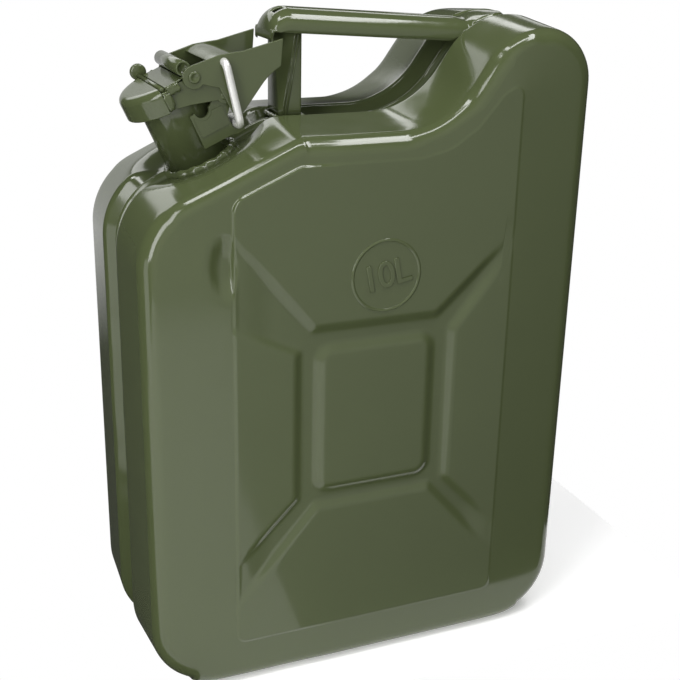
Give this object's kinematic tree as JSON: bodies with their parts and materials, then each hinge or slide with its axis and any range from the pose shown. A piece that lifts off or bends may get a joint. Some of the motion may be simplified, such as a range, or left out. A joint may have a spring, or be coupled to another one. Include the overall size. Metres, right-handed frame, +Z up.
{
  "type": "metal jerry can",
  "caption": "Ten litre pressed steel fuel can with a channel carrying handle, tilted filler neck, hinged cap, cam lever, wire bail and sliding locking pin.",
  "frame": {"origin": "centre of the can's footprint on the floor, at the lowest point of the base", "axes": "+Z up, +X along the broad side from the spout towards the rear of the handle, -Y out of the broad face that the picture shows"},
  "size_m": [0.27, 0.134, 0.388],
  "materials": {
    "paint": "gloss olive enamel",
    "zinc_wire": "bright zinc plate",
    "gasket_rubber": "matt"
  },
  "bodies": {
    "can": {"near_shell": "paint", "far_shell": "paint", "seam_weld": "paint", "neck_tube": "paint", "neck_weld": "paint", "breather_pipe": "paint", "neck_bracket": "paint", "hinge_pin": "paint", "handle_bar": "paint", "handle_post": "paint", "post_weld": "paint"},
    "cap": {"cap": "paint", "cap_curl": "paint", "cap_gasket": "gasket_rubber", "gasket_retainer": "paint", "pivot_pin": "paint"},
    "lever": {"lever": "paint"},
    "bail": {"bail": "zinc_wire"},
    "locking_pin": {"locking_pin": "paint", "locking_knob": "paint"}
  },
  "joints": [
    {"name": "cap_tilt", "type": "hinge", "parent": "can", "child": "cap", "pos_m": [-0.07433, 0, 0.34491], "axis": [0, 1, 0], "range_deg": [0, 80]},
    {"name": "lever_lift", "type": "hinge", "parent": "cap", "child": "lever", "pos_m": [-0.09129, 0, 0.35566], "axis": [0, -1, 0], "range_deg": [0, 115]},
    {"name": "bail_swing", "type": "hinge", "parent": "lever", "child": "bail", "pos_m": [-0.07498, 0, 0.36328], "axis": [0, 1, 0], "range_deg": [0, 55]},
    {"name": "locking_pin_slide", "type": "slide", "parent": "cap", "child": "locking_pin", "axis": [0, 1, 0], "range_m": [0, 0.012]}
  ],
  "couplings": [
    {"joint": "cap_tilt", "follows": "lever_lift", "ratio": 0.695},
    {"joint": "bail_swing", "follows": "lever_lift", "ratio": 0.478}
  ]
}
